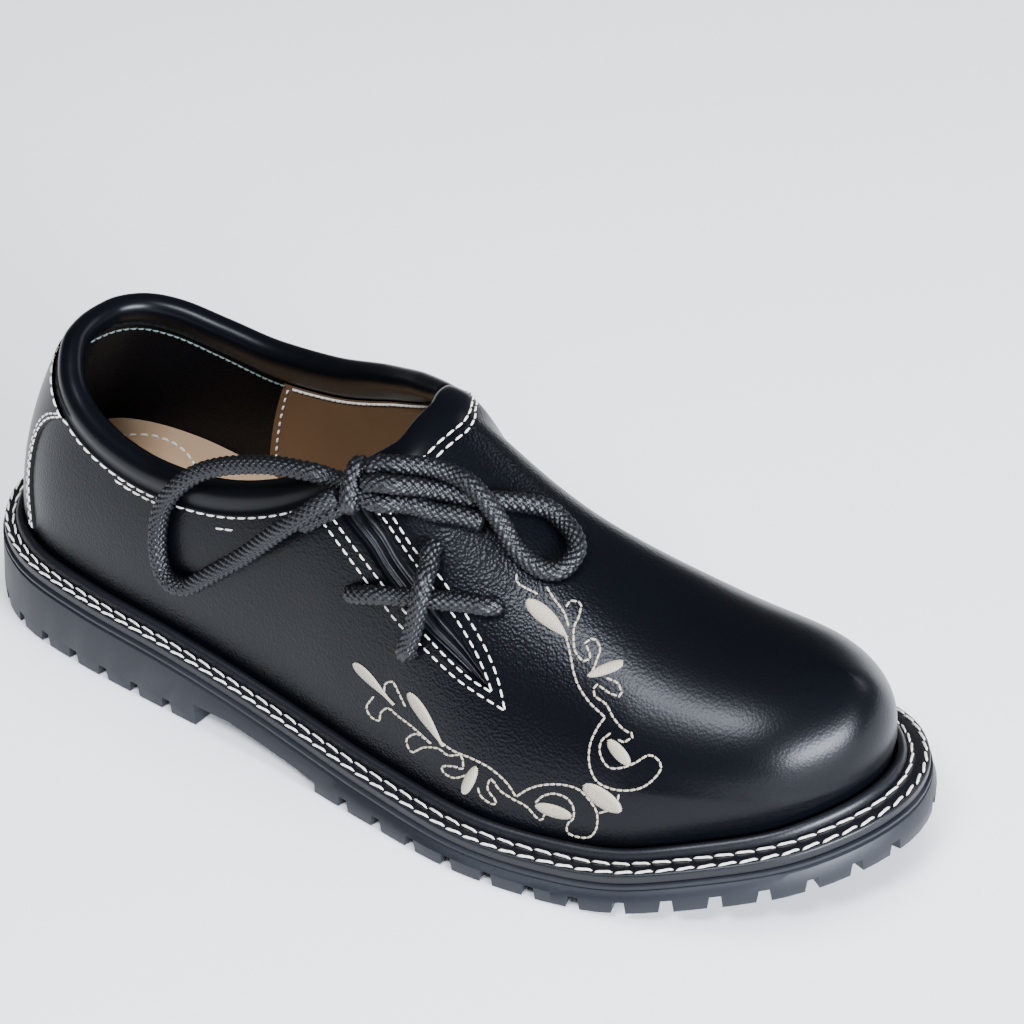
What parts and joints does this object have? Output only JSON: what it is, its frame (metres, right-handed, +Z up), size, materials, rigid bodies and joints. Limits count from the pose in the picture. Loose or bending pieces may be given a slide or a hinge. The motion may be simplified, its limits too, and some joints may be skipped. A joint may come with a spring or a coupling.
{
  "type": "traditional shoe",
  "caption": "Low black leather shoe with a padded collar, side lacing over a gusset, scroll embroidery on the vamp and a welted lug sole. Right foot.",
  "frame": {"origin": "on the floor under the middle of the sole's box", "axes": "+X to the toe, +Y to the inner side of the foot, +Z up"},
  "size_m": [0.3094, 0.1146, 0.1049],
  "materials": {
    "outsole": "moulded black-blue rubber",
    "welt": "black dyed leather strip, stitched twice",
    "insole": "tan leather",
    "upper": "black pebbled leather with a soft gloss",
    "gusset": "soft black leather",
    "lace_crossing": "round braided black cord",
    "lace_knot": "round braided black cord",
    "lace_loop_rear": "round braided black cord",
    "lace_loop_front": "round braided black cord",
    "lace_end": "round braided black cord"
  },
  "bodies": {
    "root": {"outsole": "outsole", "welt": "welt", "insole": "insole", "upper": "upper", "gusset": "gusset", "lace_crossing": "lace_crossing", "lace_knot": "lace_knot", "lace_loop_rear": "lace_loop_rear", "lace_loop_front": "lace_loop_front", "lace_end": "lace_end"}
  },
  "joints": []
}
